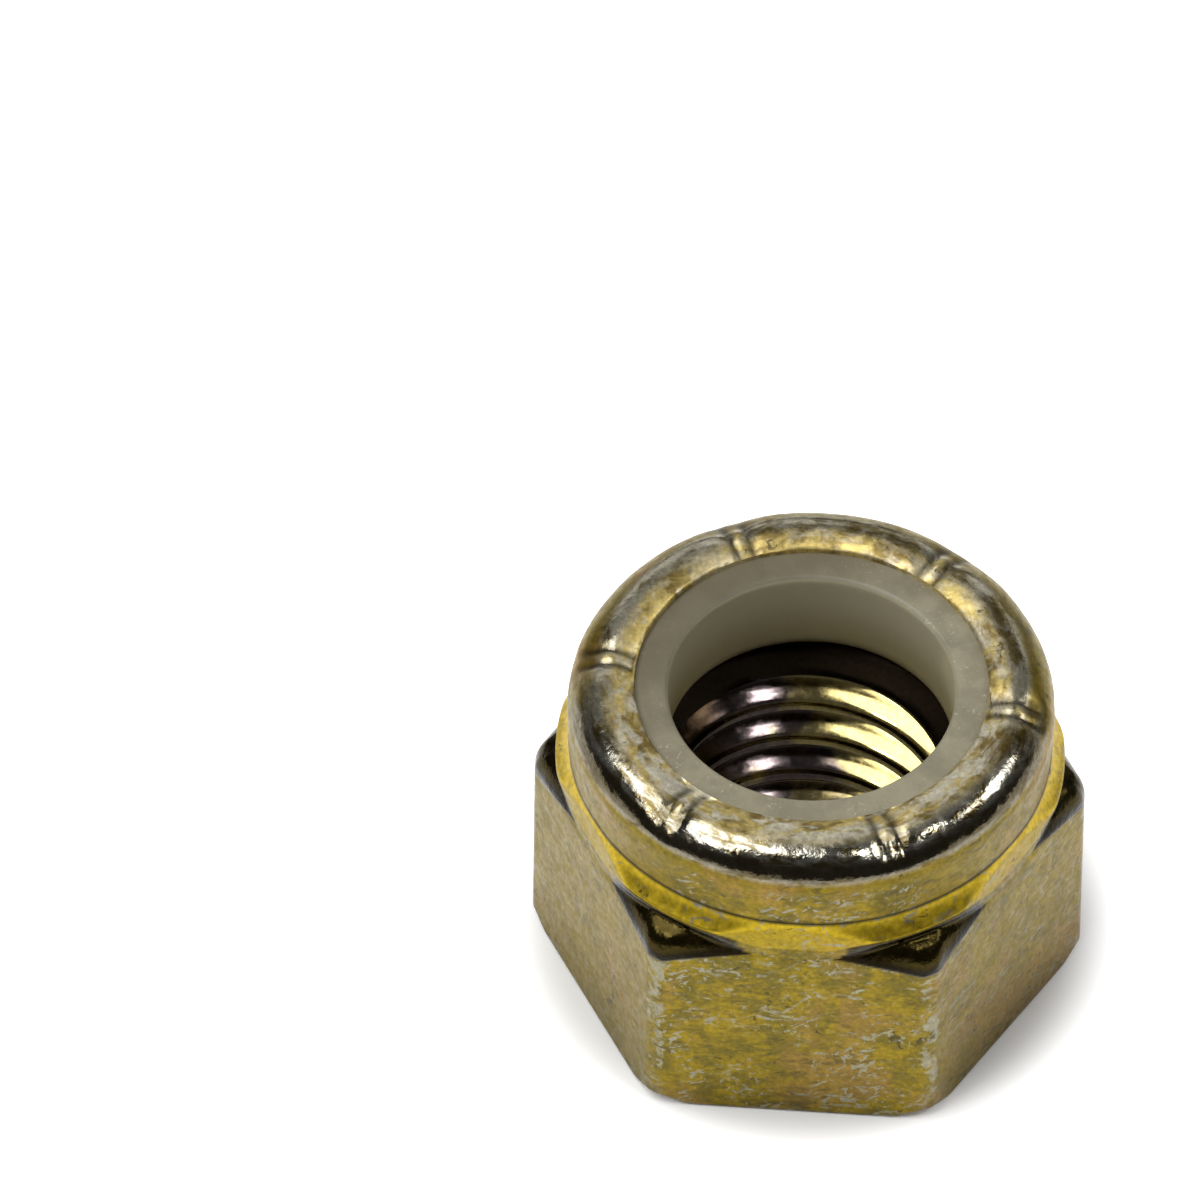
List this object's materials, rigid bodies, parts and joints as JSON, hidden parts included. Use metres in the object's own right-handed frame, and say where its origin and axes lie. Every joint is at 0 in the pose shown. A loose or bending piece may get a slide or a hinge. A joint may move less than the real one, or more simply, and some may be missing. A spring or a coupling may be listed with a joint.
{
  "type": "nylon insert lock nut",
  "caption": "Hexagonal steel lock nut with a rolled, crimped crown that holds a nylon ring over its thread.",
  "frame": {"origin": "centre of the bearing face that the nut stands on, on the thread's axis", "axes": "+Z along the thread's axis from the bearing face up to the crown; two of the hexagon's corners lie on +X and -X, and two wrench flats face +Y and -Y"},
  "size_m": [0.0162, 0.0144, 0.0113],
  "materials": {
    "yellow_zinc_steel": "yellow chromated zinc plate over steel, worn at the edges",
    "nylon": "natural grey-beige nylon, turned"
  },
  "bodies": {
    "root": {"nut_body": "yellow_zinc_steel", "nylon_insert": "nylon"}
  },
  "joints": []
}
